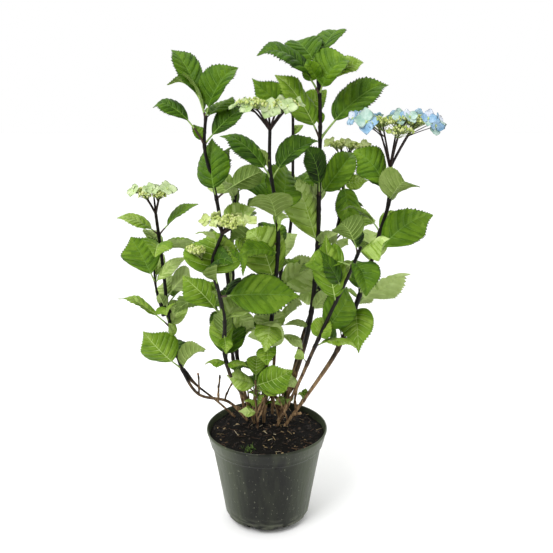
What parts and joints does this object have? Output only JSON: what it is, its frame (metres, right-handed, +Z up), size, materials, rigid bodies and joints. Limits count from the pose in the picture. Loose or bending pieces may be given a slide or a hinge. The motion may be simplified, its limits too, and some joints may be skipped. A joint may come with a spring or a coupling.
{
  "type": "lacecap hydrangea shrub in a nursery pot",
  "caption": "Leafy lacecap hydrangea shrub with slender dark canes, opposite toothed leaves and flat blue and pale green blooms, growing in a round dark plastic nursery pot.",
  "frame": {"origin": "on the pot's axis, at the flat underside that it stands on", "axes": "+Z up along the pot's axis and the canes, -Y towards the best side, +X to the right of that side"},
  "size_m": [0.4746, 0.3397, 0.7497],
  "materials": {
    "pot": "scuffed satin moulded plastic, dark olive grey",
    "soil": "damp potting soil with bark chips",
    "bark": "near-black young cane, brown and ridged at the foot",
    "leaf": "fresh green, quilted between pale veins, matte and paler beneath",
    "bloom_green": "pale yellow-green beads and petals",
    "bloom_blue": "light blue petals round pale green beads"
  },
  "bodies": {
    "root": {"pot": "pot", "soil": "soil", "cane_back": "bark", "cane_back_left": "bark", "cane_back_right": "bark", "cane_front": "bark", "cane_front_right": "bark", "cane_left": "bark", "cane_left_shoot": "bark", "cane_low": "bark", "cane_mid_left": "bark", "cane_middle": "bark", "cane_old": "bark", "cane_right": "bark", "cane_tall": "bark", "bloom_back_right_1": "bloom_green", "bloom_front_1": "bloom_green", "bloom_front_2": "bloom_green", "bloom_left_1": "bloom_green", "bloom_middle_1": "bloom_green", "bloom_right_1": "bloom_blue", "leaves_back_1": "leaf", "leaves_back_2": "leaf", "leaves_back_3": "leaf", "leaves_back_left_1": "leaf", "leaves_back_left_2": "leaf", "leaves_back_left_3": "leaf", "leaves_back_right_1": "leaf", "leaves_back_right_2": "leaf", "leaves_front_1": "leaf", "leaves_front_2": "leaf", "leaves_front_3": "leaf", "leaves_front_4": "leaf", "leaves_front_right_1": "leaf", "leaves_front_right_2": "leaf", "leaves_front_right_3": "leaf", "leaves_left_1": "leaf", "leaves_left_2": "leaf", "leaves_left_3": "leaf", "leaves_left_4": "leaf", "leaves_left_shoot_1": "leaf", "leaves_low_1": "leaf", "leaves_mid_left_1": "leaf", "leaves_mid_left_2": "leaf", "leaves_mid_left_3": "leaf", "leaves_mid_left_4": "leaf", "leaves_middle_1": "leaf", "leaves_middle_2": "leaf", "leaves_middle_3": "leaf", "leaves_middle_4": "leaf", "leaves_right_1": "leaf", "leaves_right_2": "leaf", "leaves_right_3": "leaf", "leaves_tall_1": "leaf", "leaves_tall_2": "leaf", "leaves_tall_3": "leaf", "leaves_tall_4": "leaf", "leaves_tall_5": "leaf", "leaves_tall_6": "leaf"}
  },
  "joints": []
}
